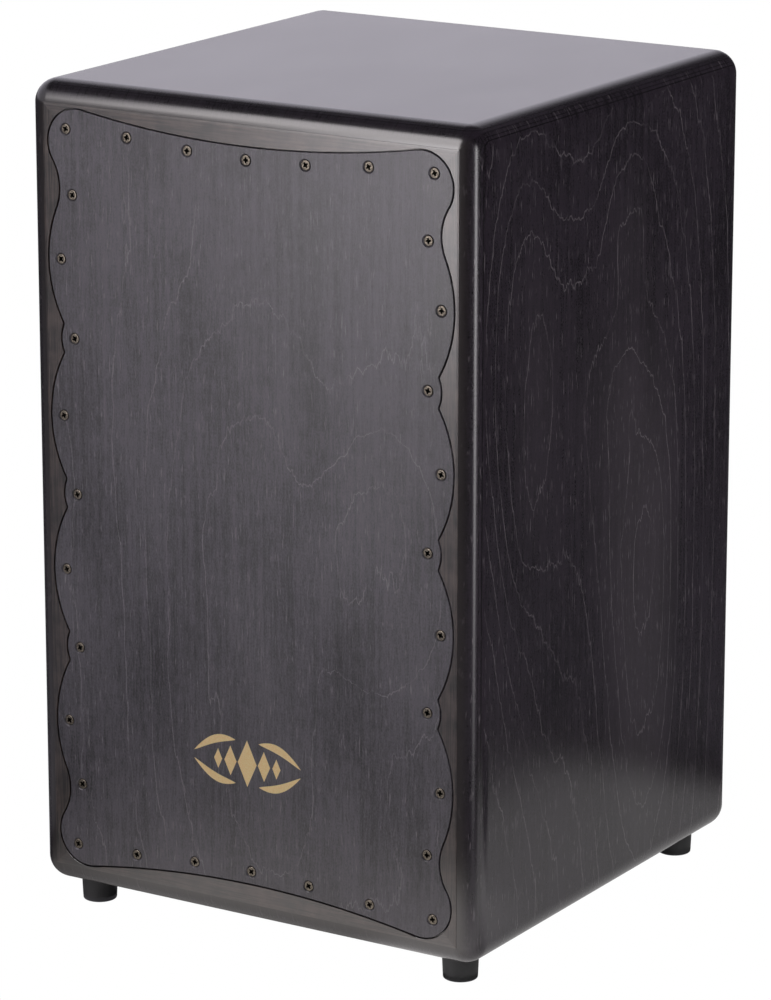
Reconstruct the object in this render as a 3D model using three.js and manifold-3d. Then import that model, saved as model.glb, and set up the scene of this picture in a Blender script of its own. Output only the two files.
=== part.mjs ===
// A cajon: a wooden box drum that the player sits on, striking its thin front plate, the tapa.
// Millimetres. The origin is on the floor under the middle of the box, +Z is up, and the tapa
// faces -Y. Left and right are a listener's, who looks at the tapa along +Y.

import * as THREE from 'three';
import { RoundedBoxGeometry } from 'three/addons/geometries/RoundedBoxGeometry.js';
import { mergeVertices } from 'three/addons/utils/BufferGeometryUtils.js';
import Module from 'manifold-3d';

const wasm = await Module();
wasm.setup();

// ---------------------------------------------------------------- driving dimensions

const BOX = { width: 300, depth: 306, height: 480 };
const EDGE_RADIUS = 14;
const EDGE_SEGMENTS = 4;
const WALL = 12;
const GLUE_GAP = 0.3;

const FOOT = { height: 15.5, topRadius: 10.75, bottomRadius: 10, inset: 24.6, insetDepth: 26 };

const RAIL = { width: 30, depth: 26 };
const BATTEN = 12;
const BACK = { thickness: 5, holeRadius: 58, holeAboveBoxBottom: 320 };

const TAPA_THICKNESS = 3;
const TAPA_GAP = 0.9;
const ARC_TOLERANCE = 0.14;

// The tapa's scalloped outline, as the circles that it rolls along, measured from its centre.
const BULGE = { radius: 75, x: 60.5, heights: [46, 138] };
const BUMP = { radius: 20, x: 107.4, heights: [0, 92] };
const NICK_RADIUS = 2;
const VALLEY_RADIUS = 30;
const LOBE = { radius: 20, x: 114.7, height: 206 };
const TOP_MIDDLE = 216;

// Tapa screws, measured from the tapa's centre: [x, height], mirrored into all four quarters.
const SCREW_PLACES = [
  [0, 208.2], [39.3, 209.5], [80.3, 212.8], [122.3, 213.7],
  [118.5, 176], [127, 138], [118.5, 92.3], [127, 46], [118.5, 0],
];
const TAPA_SCREW = {
  length: 16, headRadius: 3.1, shankRadius: 1.5, sunk: 0.25, tip: 3, sides: 8,
  recess: { width: 0.9, span: 3.4, depth: 1.1 },
};
const COUNTERSINK = { radius: 3.7, throat: 1.9 };
const PILOT_RADIUS = 1.8;

// Snare: two strings, each doubled over a block under the top rail, are pulled tight by a bar
// that two screws draw down. The screws turn in the bottom panel, with a key from below.
const STRING = { radius: 0.45, fromTapa: 1.6, middle: 30, spread: 8, ferruleRadius: 1.2, ferruleLength: 4 };
const KERF = { width: 1.6, depth: 2.2 };
const BLOCK = { length: 100, depth: 18, height: 12 };
const BAR = { length: 150, depth: 22, height: 8, bottom: 67, fromTapa: 0.4 };
const TENSION = {
  x: 60, y: -133.5, headRadius: 4.25, headHeight: 4.9, shankRadius: 2.4, top: 84,
  keyRadius: 2.3, keyDepth: 2.8, clearRadius: 2.9, boreRadius: 5, boreDepth: 5.7,
};
const FOOT_SCREW = {
  headRadius: 3.8, headHeight: 2.6, shankRadius: 2, top: 25, pilotRadius: 2.5, pilotTop: 26,
};

// ---------------------------------------------------------------- levels worked out from them

const FRONT = -BOX.depth / 2;
const REAR = BOX.depth / 2;
const BOTTOM = FOOT.height;
const MIDDLE = BOTTOM + BOX.height / 2;
const TAPA_BACK = FRONT + TAPA_THICKNESS;
const INSIDE = { halfWidth: BOX.width / 2 - WALL, halfHeight: BOX.height / 2 - WALL };
const FRAME = { halfWidth: INSIDE.halfWidth - GLUE_GAP, halfHeight: INSIDE.halfHeight - GLUE_GAP };
const PAST = 1;

// ---------------------------------------------------------------- solids

// A closed surface as a solid, with its shared corners merged and its faces turned outwards.
function solid(geometry) {
  geometry.deleteAttribute('normal');
  geometry.deleteAttribute('uv');
  const merged = mergeVertices(geometry, 1e-4);
  const corners = [];
  for (let i = 0; i < merged.index.count; i += 3) {
    const [a, b, c] = [0, 1, 2].map((step) => merged.index.getX(i + step));
    if (a !== b && b !== c && c !== a) corners.push(a, b, c);
  }
  const build = (triangles) => new wasm.Manifold(new wasm.Mesh({
    numProp: 3,
    vertProperties: new Float32Array(merged.attributes.position.array),
    triVerts: new Uint32Array(triangles),
  }));
  const first = build(corners);
  return first.volume() > 0 ? first : build(corners.slice().reverse());
}

function block(x, y, z) {
  const geometry = new THREE.BoxGeometry(x[1] - x[0], y[1] - y[0], z[1] - z[0]);
  geometry.translate((x[0] + x[1]) / 2, (y[0] + y[1]) / 2, (z[0] + z[1]) / 2);
  return solid(geometry);
}

// An outline drawn in X and Z, given its thickness along Y. It is drawn round the box's middle
// unless another level is named.
function plate(outline, yFrom, yTo, level = MIDDLE) {
  const geometry = new THREE.ExtrudeGeometry(outline, { depth: yTo - yFrom, bevelEnabled: false });
  geometry.rotateX(Math.PI / 2);
  geometry.translate(0, yTo, level);
  return solid(geometry);
}

// A turned piece: its profile is [radius, place along the axis], and the axis runs along +Y.
function turned(profile, sides) {
  const points = profile.map(([radius, along]) => new THREE.Vector2(radius, along));
  return new THREE.LatheGeometry(points, sides);
}

function post(radius, x, y, zFrom, zTo, sides) {
  const geometry = new THREE.CylinderGeometry(radius, radius, zTo - zFrom, sides);
  geometry.rotateX(Math.PI / 2);
  geometry.translate(x, y, (zFrom + zTo) / 2);
  return solid(geometry);
}

function joined(solids) {
  return solids.reduce((all, next) => all.add(next));
}

// ---------------------------------------------------------------- materials and placing

const MATERIALS = {
  sideVeneer: new THREE.MeshStandardMaterial({ color: 0x2b272c, roughness: 0.42 }),
  tapaVeneer: new THREE.MeshStandardMaterial({ color: 0x4a474c, roughness: 0.5 }),
  frameWood: new THREE.MeshStandardMaterial({ color: 0x3d3a3d, roughness: 0.45 }),
  rawBirch: new THREE.MeshStandardMaterial({ color: 0xcdb187, roughness: 0.7 }),
  bronze: new THREE.MeshStandardMaterial({ color: 0x5a524b, roughness: 0.45, metalness: 1 }),
  rubber: new THREE.MeshStandardMaterial({ color: 0x121213, roughness: 0.8 }),
  steel: new THREE.MeshStandardMaterial({ color: 0x9a9ba0, roughness: 0.35, metalness: 1 }),
  alloy: new THREE.MeshStandardMaterial({ color: 0xb9bbbe, roughness: 0.4, metalness: 1 }),
  wound: new THREE.MeshStandardMaterial({ color: 0xb08a4a, roughness: 0.35, metalness: 1 }),
};

const cajon = new THREE.Group();

function addMesh(name, geometry, material) {
  const mesh = new THREE.Mesh(geometry, material);
  mesh.name = name;
  cajon.add(mesh);
  return mesh;
}

function addSolid(name, manifold, material) {
  const { numProp, vertProperties, triVerts } = manifold.getMesh();
  const geometry = new THREE.BufferGeometry();
  geometry.setAttribute('position', new THREE.BufferAttribute(vertProperties, numProp));
  geometry.setIndex(new THREE.BufferAttribute(triVerts, 1));
  geometry.computeVertexNormals();
  return addMesh(name, geometry, material);
}

// ---------------------------------------------------------------- mitred rings

// The four strips of a rectangular ring that is mitred at its corners.
function ringStrips(halfWidth, halfHeight, stripWidth) {
  const trim = GLUE_GAP / Math.SQRT2;
  const strip = (halfLength, level) => [
    [-halfLength + trim, level],
    [halfLength - trim, level],
    [halfLength - stripWidth - trim, level - stripWidth],
    [-halfLength + stripWidth + trim, level - stripWidth],
  ];
  const across = strip(halfWidth, halfHeight);
  const upright = strip(halfHeight, halfWidth);
  const outline = (points) => new THREE.Shape(points.map(([x, z]) => new THREE.Vector2(x, z)));
  return {
    top: outline(across),
    bottom: outline(across.map(([x, z]) => [x, -z])),
    left: outline(upright.map(([along, level]) => [-level, along])),
    right: outline(upright.map(([along, level]) => [level, along])),
  };
}

// ---------------------------------------------------------------- the tapa's outline

// Centre of the circle of radius r that touches circles a and b from outside, on the far side.
function touchingCircle(a, b, r, side) {
  const reachA = a.radius + r;
  const reachB = b.radius + r;
  const dx = b.x - a.x;
  const dz = b.z - a.z;
  const distance = Math.hypot(dx, dz);
  const along = (reachA ** 2 - reachB ** 2 + distance ** 2) / (2 * distance);
  const off = side * Math.sqrt(reachA ** 2 - along ** 2);
  const x = a.x + (along * dx - off * dz) / distance;
  const z = a.z + (along * dz + off * dx) / distance;
  return { x, z, radius: r, hollow: true };
}

// The upper right quarter, from the middle of the right edge to the middle of the top edge.
function quarterCircles() {
  const bumps = BUMP.heights.map((z) => ({ x: BUMP.x, z, radius: BUMP.radius }));
  const bulges = BULGE.heights.map((z) => ({ x: BULGE.x, z, radius: BULGE.radius }));
  const lobe = { x: LOBE.x, z: LOBE.height, radius: LOBE.radius };
  const nick = (from, to) => touchingCircle(from, to, NICK_RADIUS, -1);
  const rise = TOP_MIDDLE - LOBE.height;
  const topRadius = (LOBE.x ** 2 + rise ** 2 - LOBE.radius ** 2) / (2 * (LOBE.radius - rise));
  return [
    bumps[0], nick(bumps[0], bulges[0]),
    bulges[0], nick(bulges[0], bumps[1]),
    bumps[1], nick(bumps[1], bulges[1]),
    bulges[1], touchingCircle(bulges[1], lobe, VALLEY_RADIUS, -1),
    lobe, { x: 0, z: TOP_MIDDLE + topRadius, radius: topRadius, hollow: true },
  ];
}

function fullRing() {
  const quarter = quarterCircles();
  const mirror = (list, sx, sz) => list.map((c) => ({ ...c, x: sx * c.x, z: sz * c.z }));
  const inner = quarter.slice(1, -1);
  const [side, top] = [quarter[0], quarter[quarter.length - 1]];
  return [
    side, ...inner, top,
    ...mirror(inner, -1, 1).reverse(), ...mirror([side], -1, 1),
    ...mirror(inner, -1, -1), ...mirror([top], 1, -1),
    ...mirror(inner, 1, -1).reverse(),
  ];
}

// The outline moved outwards by grow: swells gain it and hollows lose it.
function tapaOutline(grow) {
  const ring = fullRing();
  const points = [];
  const toward = (from, to) => Math.atan2(to.z - from.z, to.x - from.x);
  ring.forEach((circle, i) => {
    const before = ring[(i + ring.length - 1) % ring.length];
    const after = ring[(i + 1) % ring.length];
    const radius = circle.radius + (circle.hollow ? -grow : grow);
    const start = toward(circle, before);
    const turn = circle.hollow ? -1 : 1;
    const full = 2 * Math.PI;
    const sweep = (((toward(circle, after) - start) * turn) % full + full) % full;
    const step = 2 * Math.acos(1 - ARC_TOLERANCE / Math.max(radius, 1));
    const count = Math.max(2, Math.ceil(sweep / step));
    for (let k = 0; k < count; k += 1) {
      const angle = start + turn * sweep * (k / count);
      points.push(new THREE.Vector2(
        circle.x + radius * Math.cos(angle),
        circle.z + radius * Math.sin(angle),
      ));
    }
  });
  return new THREE.Shape(points);
}

// ---------------------------------------------------------------- tapa screws

function screwPlaces() {
  const places = [];
  for (const [x, height] of SCREW_PLACES) {
    const xs = x === 0 ? [0] : [-x, x];
    const heights = height === 0 ? [0] : [height, -height];
    heights.forEach((z) => xs.forEach((side) => places.push([side, z])));
  }
  return places;
}

function crossOutline(long, thin) {
  const points = [];
  for (let quarter = 0; quarter < 4; quarter += 1) {
    const turn = quarter * Math.PI / 2;
    const origin = new THREE.Vector2(0, 0);
    for (const corner of [[thin, thin], [long, thin], [long, -thin]].reverse()) {
      points.push(new THREE.Vector2(...corner).rotateAround(origin, turn));
    }
  }
  return new THREE.Shape(points);
}

// Head at the origin, facing -Y, with a cross recess for the driver.
function tapaScrew() {
  const { length, headRadius, shankRadius, tip, sides, recess } = TAPA_SCREW;
  const coneEnd = headRadius - shankRadius;
  const body = solid(turned([
    [0, 0], [headRadius, 0], [shankRadius, coneEnd], [shankRadius, length - tip], [0, length],
  ], sides));
  return body.subtract(plate(crossOutline(recess.span / 2, recess.width / 2), -PAST, recess.depth, 0));
}

function countersinkTool() {
  const { radius, throat } = COUNTERSINK;
  return turned([
    [0, -PAST], [radius + PAST, -PAST], [throat, radius - throat],
    [throat, TAPA_THICKNESS + PAST], [0, TAPA_THICKNESS + PAST],
  ], TAPA_SCREW.sides);
}

function pilotTool() {
  const end = TAPA_SCREW.length + PAST;
  return turned([[0, 0], [PILOT_RADIUS, 0], [PILOT_RADIUS, end], [0, end]], 8);
}

function atScrews(makeTool) {
  const copies = screwPlaces().map(([x, z]) => {
    const geometry = makeTool();
    geometry.translate(x, FRONT, MIDDLE + z);
    return solid(geometry);
  });
  return joined(copies);
}

function addTapaScrews() {
  const goldenTurn = Math.PI * (3 - Math.sqrt(5));
  const screw = tapaScrew();
  screwPlaces().forEach(([x, z], i) => {
    const name = `tapa_screw_${String(i + 1).padStart(2, '0')}`;
    const mesh = addSolid(name, screw, MATERIALS.bronze);
    mesh.position.set(x, FRONT + TAPA_SCREW.sunk, MIDDLE + z);
    mesh.rotation.y = i * goldenTurn;
  });
}

// ---------------------------------------------------------------- case

const roundedBox = () => {
  const geometry = new RoundedBoxGeometry(BOX.width, BOX.depth, BOX.height, EDGE_SEGMENTS, EDGE_RADIUS);
  geometry.translate(0, 0, MIDDLE);
  return solid(geometry);
};

function tensionPosts(radius, zFrom, zTo) {
  const places = [-TENSION.x, TENSION.x];
  return joined(places.map((x) => post(radius, x, TENSION.y, zFrom, zTo, 12)));
}

function footPlaces() {
  const x = BOX.width / 2 - FOOT.inset;
  const y = BOX.depth / 2 - FOOT.insetDepth;
  return { front_left: [-x, -y], front_right: [x, -y], back_left: [-x, y], back_right: [x, y] };
}

function addPanels(outer) {
  const hollow = block(
    [-INSIDE.halfWidth, INSIDE.halfWidth],
    [FRONT - PAST, REAR + PAST],
    [MIDDLE - INSIDE.halfHeight, MIDDLE + INSIDE.halfHeight],
  );
  const shell = outer.subtract(hollow);
  const margin = 5;
  const strips = ringStrips(BOX.width / 2 + margin, BOX.height / 2 + margin, WALL + 2 * margin);
  for (const side of ['top', 'bottom', 'left', 'right']) {
    let panel = shell.intersect(plate(strips[side], FRONT - PAST, REAR + PAST));
    if (side === 'bottom') {
      panel = panel.subtract(tensionPosts(TENSION.boreRadius, BOTTOM - PAST, BOTTOM + TENSION.boreDepth));
      panel = panel.subtract(tensionPosts(TENSION.clearRadius, BOTTOM - PAST, BOTTOM + WALL + PAST));
      for (const [x, y] of Object.values(footPlaces())) {
        const pilot = post(FOOT_SCREW.pilotRadius, x, y, BOTTOM - PAST, FOOT_SCREW.pilotTop, 8);
        panel = panel.subtract(pilot);
      }
    }
    addSolid(`${side}_panel`, panel, MATERIALS.sideVeneer);
  }
}

function addFrontFrame(outer) {
  const names = {
    top: 'front_top_rail', bottom: 'front_bottom_rail', left: 'front_left_stile', right: 'front_right_stile',
  };
  const strips = ringStrips(FRAME.halfWidth, FRAME.halfHeight, RAIL.width);
  const pocket = plate(tapaOutline(TAPA_GAP / 2), FRONT - PAST, TAPA_BACK + GLUE_GAP / 2);
  const pilots = atScrews(pilotTool);
  const railTop = MIDDLE - FRAME.halfHeight + RAIL.width + PAST;
  for (const [side, name] of Object.entries(names)) {
    let rail = plate(strips[side], FRONT, FRONT + RAIL.depth).intersect(outer);
    rail = rail.subtract(pocket).subtract(pilots);
    if (side === 'bottom') rail = rail.subtract(tensionPosts(TENSION.clearRadius, BOTTOM, railTop));
    addSolid(name, rail, MATERIALS.frameWood);
  }
}

function addTapa() {
  const plain = plate(tapaOutline(-TAPA_GAP / 2), FRONT, TAPA_BACK);
  addSolid('tapa', plain.subtract(atScrews(countersinkTool)), MATERIALS.tapaVeneer);
}

function addBack(outer) {
  const face = REAR - BACK.thickness;
  const [x, z] = [FRAME.halfWidth, FRAME.halfHeight];
  const sheet = block([-x, x], [face, REAR + PAST], [MIDDLE - z, MIDDLE + z]).intersect(outer);
  const hole = new THREE.CylinderGeometry(BACK.holeRadius, BACK.holeRadius, 3 * BACK.thickness, 48);
  hole.translate(0, face, BOTTOM + BACK.holeAboveBoxBottom);
  addSolid('back_panel', sheet.subtract(solid(hole)), MATERIALS.sideVeneer);

  const y = [face - GLUE_GAP - BATTEN, face - GLUE_GAP];
  const upright = z - BATTEN - GLUE_GAP;
  const ends = [-x, x];
  const low = [MIDDLE - z, MIDDLE - z + BATTEN];
  const high = [MIDDLE + z - BATTEN, MIDDLE + z];
  const between = [MIDDLE - upright, MIDDLE + upright];
  addSolid('back_top_batten', block(ends, y, high), MATERIALS.rawBirch);
  addSolid('back_bottom_batten', block(ends, y, low), MATERIALS.rawBirch);
  addSolid('back_left_batten', block([-x, -x + BATTEN], y, between), MATERIALS.rawBirch);
  addSolid('back_right_batten', block([x - BATTEN, x], y, between), MATERIALS.rawBirch);
}

// ---------------------------------------------------------------- feet

function addFeet() {
  const { topRadius, bottomRadius } = FOOT;
  const top = FOOT.height - GLUE_GAP / 2;
  const bore = { radius: 5, floor: 8, hole: 2.6 };
  const foot = turned([
    [bore.radius, 0], [bottomRadius - 0.8, 0], [bottomRadius, 0.8],
    [topRadius, top], [bore.hole, top], [bore.hole, bore.floor], [bore.radius, bore.floor], [bore.radius, 0],
  ], 16);
  const { headRadius, headHeight, shankRadius } = FOOT_SCREW;
  const seat = bore.floor - GLUE_GAP;
  const screw = turned([
    [0, seat - headHeight], [headRadius - 0.8, seat - headHeight], [headRadius, seat - headHeight + 0.8],
    [headRadius, seat], [shankRadius, seat], [shankRadius, FOOT_SCREW.top - 3], [0, FOOT_SCREW.top],
  ], 12);
  foot.rotateX(Math.PI / 2);
  screw.rotateX(Math.PI / 2);
  const footSolid = solid(foot);
  const screwSolid = solid(screw);
  for (const [place, [x, y]] of Object.entries(footPlaces())) {
    addSolid(`foot_${place}`, footSolid, MATERIALS.rubber).position.set(x, y, 0);
    addSolid(`foot_screw_${place}`, screwSolid, MATERIALS.steel).position.set(x, y, 0);
  }
}

// ---------------------------------------------------------------- snare strings

const stringY = TAPA_BACK + STRING.fromTapa;
const blockTop = MIDDLE + FRAME.halfHeight - RAIL.width - GLUE_GAP;

function stringLegs(middle) {
  return [middle - STRING.spread, middle + STRING.spread];
}

function kerfs(zFrom, zTo) {
  const y = [TAPA_BACK - PAST, TAPA_BACK + BAR.fromTapa + KERF.depth];
  const legs = [...stringLegs(-STRING.middle), ...stringLegs(STRING.middle)];
  return joined(legs.map((x) => block([x - KERF.width / 2, x + KERF.width / 2], y, [zFrom, zTo])));
}

function addStringBlock() {
  const y = TAPA_BACK + BAR.fromTapa;
  const low = blockTop - BLOCK.height;
  let piece = block([-BLOCK.length / 2, BLOCK.length / 2], [y, y + BLOCK.depth], [low, blockTop]);
  piece = piece.subtract(kerfs(low - PAST, blockTop + PAST));
  for (const middle of [-STRING.middle, STRING.middle]) {
    const [from, to] = stringLegs(middle);
    const groove = [[from, to], [y - PAST, y + KERF.depth], [blockTop - KERF.width, blockTop + PAST]];
    piece = piece.subtract(block(...groove));
  }
  addSolid('string_block', piece, MATERIALS.rawBirch);
}

function addTensionBar() {
  const y = TAPA_BACK + BAR.fromTapa;
  const top = BAR.bottom + BAR.height;
  let bar = block([-BAR.length / 2, BAR.length / 2], [y, y + BAR.depth], [BAR.bottom, top]);
  bar = bar.subtract(kerfs(BAR.bottom - PAST, top + PAST));
  bar = bar.subtract(tensionPosts(TENSION.shankRadius + 0.35, BAR.bottom - PAST, top + PAST));
  addSolid('tension_bar', bar, MATERIALS.alloy);
}

function addTensionScrews() {
  const seat = BOTTOM + TENSION.boreDepth - GLUE_GAP;
  const low = seat - TENSION.headHeight;
  const { headRadius, shankRadius, top } = TENSION;
  const profile = turned([
    [0, low], [headRadius - 0.4, low], [headRadius, low + 0.4], [headRadius, seat],
    [shankRadius, seat], [shankRadius, top - 1], [shankRadius - 1, top], [0, top],
  ], 12);
  profile.rotateX(Math.PI / 2);
  const key = post(TENSION.keyRadius, 0, 0, low - PAST, low + TENSION.keyDepth, 6);
  const screw = solid(profile).subtract(key);
  for (const [side, x] of [['left', -TENSION.x], ['right', TENSION.x]]) {
    addSolid(`tension_screw_${side}`, screw, MATERIALS.steel).position.set(x, TENSION.y, 0);
  }
}

function addStrings() {
  const wireTop = blockTop - KERF.width / 2;
  const ferruleTop = BAR.bottom - GLUE_GAP;
  for (const [side, middle] of [['left', -STRING.middle], ['right', STRING.middle]]) {
    const legs = stringLegs(middle);
    const pieces = legs.flatMap((x) => {
      const corner = new THREE.SphereGeometry(STRING.radius, 6, 4);
      corner.translate(x, stringY, wireTop);
      return [
        post(STRING.radius, x, stringY, ferruleTop - 1, wireTop, 6),
        post(STRING.ferruleRadius, x, stringY, ferruleTop - STRING.ferruleLength, ferruleTop, 8),
        solid(corner),
      ];
    });
    const bight = new THREE.CylinderGeometry(STRING.radius, STRING.radius, 2 * STRING.spread, 6);
    bight.rotateZ(Math.PI / 2);
    bight.translate(middle, stringY, wireTop);
    addSolid(`strings_${side}`, joined([...pieces, solid(bight)]), MATERIALS.wound);
  }
}

// ---------------------------------------------------------------- the cajon

const outer = roundedBox();
addPanels(outer);
addFrontFrame(outer);
addTapa();
addTapaScrews();
addBack(outer);
addFeet();
addStringBlock();
addTensionBar();
addTensionScrews();
addStrings();

export default cajon;
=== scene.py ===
# Looks of the cajon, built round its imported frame. Metres, +Z up, and the tapa faces -Y.

import math

import bmesh
import bpy
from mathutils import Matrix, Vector


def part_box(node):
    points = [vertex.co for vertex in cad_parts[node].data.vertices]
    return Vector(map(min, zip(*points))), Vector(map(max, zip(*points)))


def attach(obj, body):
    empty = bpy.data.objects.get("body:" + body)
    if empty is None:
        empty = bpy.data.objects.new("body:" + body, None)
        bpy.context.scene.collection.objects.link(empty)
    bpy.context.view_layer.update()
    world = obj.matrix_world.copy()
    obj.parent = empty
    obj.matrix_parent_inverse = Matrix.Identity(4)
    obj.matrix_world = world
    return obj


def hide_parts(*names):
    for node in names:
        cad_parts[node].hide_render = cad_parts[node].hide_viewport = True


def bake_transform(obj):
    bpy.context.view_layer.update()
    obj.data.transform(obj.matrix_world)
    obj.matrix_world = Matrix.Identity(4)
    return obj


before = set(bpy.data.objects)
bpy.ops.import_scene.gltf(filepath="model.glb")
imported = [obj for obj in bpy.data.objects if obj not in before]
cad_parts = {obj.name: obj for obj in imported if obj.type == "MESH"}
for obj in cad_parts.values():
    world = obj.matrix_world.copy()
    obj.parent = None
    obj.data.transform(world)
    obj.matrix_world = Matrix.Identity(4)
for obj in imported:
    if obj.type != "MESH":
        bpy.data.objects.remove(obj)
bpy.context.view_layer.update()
MM = 0.001

# ---------------------------------------------------------------- sizes taken from the frame

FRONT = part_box("tapa")[0].y
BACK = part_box("back_panel")[1].y
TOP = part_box("top_panel")[1].z
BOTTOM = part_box("bottom_panel")[0].z
HALF_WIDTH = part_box("right_panel")[1].x
HALF_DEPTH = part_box("right_panel")[1].y
HALF_HEIGHT = (TOP - BOTTOM) / 2
MIDDLE = (TOP + BOTTOM) / 2
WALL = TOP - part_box("top_panel")[0].z
TAPA_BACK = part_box("tapa")[1].y
RAIL_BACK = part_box("front_top_rail")[1].y
RAIL_INNER_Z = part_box("front_top_rail")[0].z - MIDDLE
RAIL_INNER_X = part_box("front_right_stile")[0].x

EDGE_RADIUS = 14 * MM
SEAM = 0.05 * MM


# ---------------------------------------------------------------- meshes

def new_object(name, data):
    obj = bpy.data.objects.new(name, data)
    bpy.context.scene.collection.objects.link(obj)
    return obj


def mesh_object(name, verts, faces, smooth_angle=None):
    mesh = bpy.data.meshes.new(name)
    mesh.from_pydata(verts, [], faces)
    bm = bmesh.new()
    bm.from_mesh(mesh)
    bmesh.ops.remove_doubles(bm, verts=bm.verts, dist=1e-6)
    bmesh.ops.recalc_face_normals(bm, faces=bm.faces)
    bm.to_mesh(mesh)
    bm.free()
    obj = new_object(name, mesh)
    if smooth_angle:
        shade(obj, smooth_angle)
    return obj


def shade(obj, angle=35):
    obj.data.polygons.foreach_set("use_smooth", [True] * len(obj.data.polygons))
    obj.data.set_sharp_from_angle(angle=math.radians(angle))


def bake_modifiers(obj):
    """The evaluated mesh takes the place of the modifiers."""
    depsgraph = bpy.context.evaluated_depsgraph_get()
    baked = bpy.data.meshes.new_from_object(obj.evaluated_get(depsgraph))
    obj.modifiers.clear()
    obj.data = baked


def soften(obj, width, segments=2, angle=40):
    bevel = obj.modifiers.new("edge", "BEVEL")
    bevel.width = width
    bevel.segments = segments
    bevel.limit_method = "ANGLE"
    bevel.angle_limit = math.radians(angle)
    bevel.harden_normals = False
    bake_modifiers(obj)
    shade(obj)


def cut(obj, cutter):
    boolean = obj.modifiers.new("cut", "BOOLEAN")
    boolean.operation = "DIFFERENCE"
    boolean.solver = "EXACT"
    boolean.object = cutter
    bake_modifiers(obj)
    bpy.data.objects.remove(cutter)


def finish_piece(obj, body, material, slot, *nodes):
    obj.data.materials.clear()
    obj.data.materials.append(material)
    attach(obj, body)
    if nodes:
        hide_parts(*nodes)
    return obj


def in_metres(points):
    return [(a * MM, b * MM) for a, b in points]


def turned(name, profile, segments, axis="Z"):
    """A turned piece. Its profile is [(radius, place along the axis)], and starts and ends on the axis
    or closes on itself."""
    verts, faces, rings = [], [], []
    for radius, along in profile:
        count = 1 if radius == 0 else segments
        rings.append((len(verts), count))
        for k in range(count):
            angle = 2 * math.pi * k / segments
            a, b = radius * math.cos(angle), radius * math.sin(angle)
            verts.append((a, along, b) if axis == "Y" else (a, b, along))
    closed = profile[0][0] > 0 and profile[-1][0] > 0
    pairs = list(zip(rings, rings[1:])) + ([(rings[-1], rings[0])] if closed else [])
    for (s0, c0), (s1, c1) in pairs:
        for k in range(segments):
            n = (k + 1) % segments
            face = [s0 + k % c0, s0 + n % c0, s1 + n % c1, s1 + k % c1]
            face = list(dict.fromkeys(face))
            if len(face) > 2:
                faces.append(face)
    return mesh_object(name, verts, faces, 30)


# ---------------------------------------------------------------- shader helpers

class Nodes:
    """A short way to write a material's node tree."""

    def __init__(self, tree):
        self.tree = tree

    def add(self, kind, **settings):
        node = self.tree.nodes.new(kind)
        for key, value in settings.items():
            setattr(node, key, value)
        return node

    def put(self, socket, value):
        if isinstance(value, bpy.types.NodeSocket):
            self.tree.links.new(value, socket)
        else:
            socket.default_value = value

    def math(self, operation, a, b=0.0):
        node = self.add("ShaderNodeMath", operation=operation)
        for socket, value in zip(node.inputs, (a, b)):
            self.put(socket, value)
        return node.outputs[0]

    def times(self, a, b):
        return self.math("MULTIPLY", a, b)

    def plus(self, a, b):
        return self.math("ADD", a, b)

    def minus(self, a, b):
        return self.math("SUBTRACT", a, b)

    def over(self, a, b):
        return self.math("DIVIDE", a, b)

    def length(self, a, b):
        return self.math("SQRT", self.plus(self.times(a, a), self.times(b, b)))

    def band(self, value, low, high, to_low=0.0, to_high=1.0):
        """A smooth step from to_low to to_high while the value goes from low to high."""
        node = self.add("ShaderNodeMapRange", interpolation_type="SMOOTHSTEP")
        for socket, item in zip(node.inputs[:5], (value, low, high, to_low, to_high)):
            self.put(socket, item)
        return node.outputs[0]

    def vector(self, x, y, z=0.0):
        node = self.add("ShaderNodeCombineXYZ")
        for socket, value in zip(node.inputs, (x, y, z)):
            self.put(socket, value)
        return node.outputs[0]

    def stretched(self, across, along, fine, coarse, detail=2.0, rough=0.5):
        """Noise drawn out along the grain: fine and coarse are its frequencies across and along it."""
        place = self.vector(self.times(across, fine), self.times(along, coarse))
        return self.noise(place, 1.0, detail, rough)

    def noise(self, vector, scale, detail=2.0, rough=0.5):
        node = self.add("ShaderNodeTexNoise")
        self.put(node.inputs["Vector"], vector)
        self.put(node.inputs["Scale"], scale)
        self.put(node.inputs["Detail"], detail)
        self.put(node.inputs["Roughness"], rough)
        return node.outputs["Fac"]

    def mix(self, factor, a, b):
        node = self.add("ShaderNodeMix", data_type="RGBA")
        self.put(node.inputs["Factor"], factor)
        self.put(node.inputs["A"], a if isinstance(a, bpy.types.NodeSocket) else (*a, 1))
        self.put(node.inputs["B"], b if isinstance(b, bpy.types.NodeSocket) else (*b, 1))
        return node.outputs["Result"]

    def bump(self, height, strength, distance):
        node = self.add("ShaderNodeBump")
        self.put(node.inputs["Strength"], strength)
        self.put(node.inputs["Distance"], distance)
        self.put(node.inputs["Height"], height)
        return node.outputs["Normal"]


def new_material(name, **constants):
    """A Principled material. The constants are set on the shader's own sockets."""
    material = bpy.data.materials.new(name)
    material.use_nodes = True
    shader = material.node_tree.nodes["Principled BSDF"]
    for key, value in constants.items():
        shader.inputs[key.replace("_", " ")].default_value = value
    nodes = Nodes(material.node_tree)
    where = nodes.add("ShaderNodeTexCoord").outputs["Object"]
    split = nodes.add("ShaderNodeSeparateXYZ")
    nodes.put(split.inputs[0], where)
    return material, shader, nodes, where, dict(zip("xyz", split.outputs))


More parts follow.
